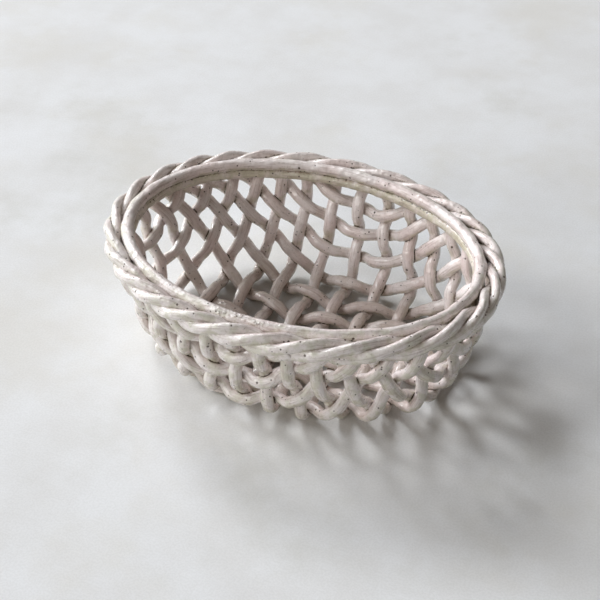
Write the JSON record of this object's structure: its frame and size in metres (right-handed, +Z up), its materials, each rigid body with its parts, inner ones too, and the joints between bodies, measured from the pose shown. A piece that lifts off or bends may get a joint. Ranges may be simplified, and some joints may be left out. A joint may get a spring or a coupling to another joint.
{
  "type": "ceramic basket",
  "caption": "Oval openwork basket woven from rolled coils of glazed clay, with a twisted rope rim and plain coils inside it.",
  "frame": {"origin": "on the surface that the basket stands on, under the middle of the rim", "axes": "+Z up, +X along the basket's length, +Y across its width"},
  "size_m": [0.2214, 0.1663, 0.0767],
  "materials": {
    "glaze": "glossy warm white glaze with brown specks, darker in the creases"
  },
  "bodies": {
    "root": {"cross_coil_01": "glaze", "cross_coil_02": "glaze", "cross_coil_03": "glaze", "cross_coil_04": "glaze", "cross_coil_05": "glaze", "cross_coil_06": "glaze", "cross_coil_07": "glaze", "cross_coil_08": "glaze", "cross_coil_09": "glaze", "cross_coil_10": "glaze", "cross_coil_11": "glaze", "cross_coil_12": "glaze", "cross_coil_13": "glaze", "cross_coil_14": "glaze", "long_coil_01": "glaze", "long_coil_02": "glaze", "long_coil_03": "glaze", "long_coil_04": "glaze", "long_coil_05": "glaze", "long_coil_06": "glaze", "long_coil_07": "glaze", "long_coil_08": "glaze", "long_coil_09": "glaze", "long_coil_10": "glaze", "long_coil_11": "glaze", "long_coil_12": "glaze", "long_coil_13": "glaze", "long_coil_14": "glaze", "rim_rope_coil_1": "glaze", "rim_rope_coil_2": "glaze", "rim_rope_coil_3": "glaze", "rim_upper_inner_coil": "glaze", "rim_lower_inner_coil": "glaze"}
  },
  "joints": []
}
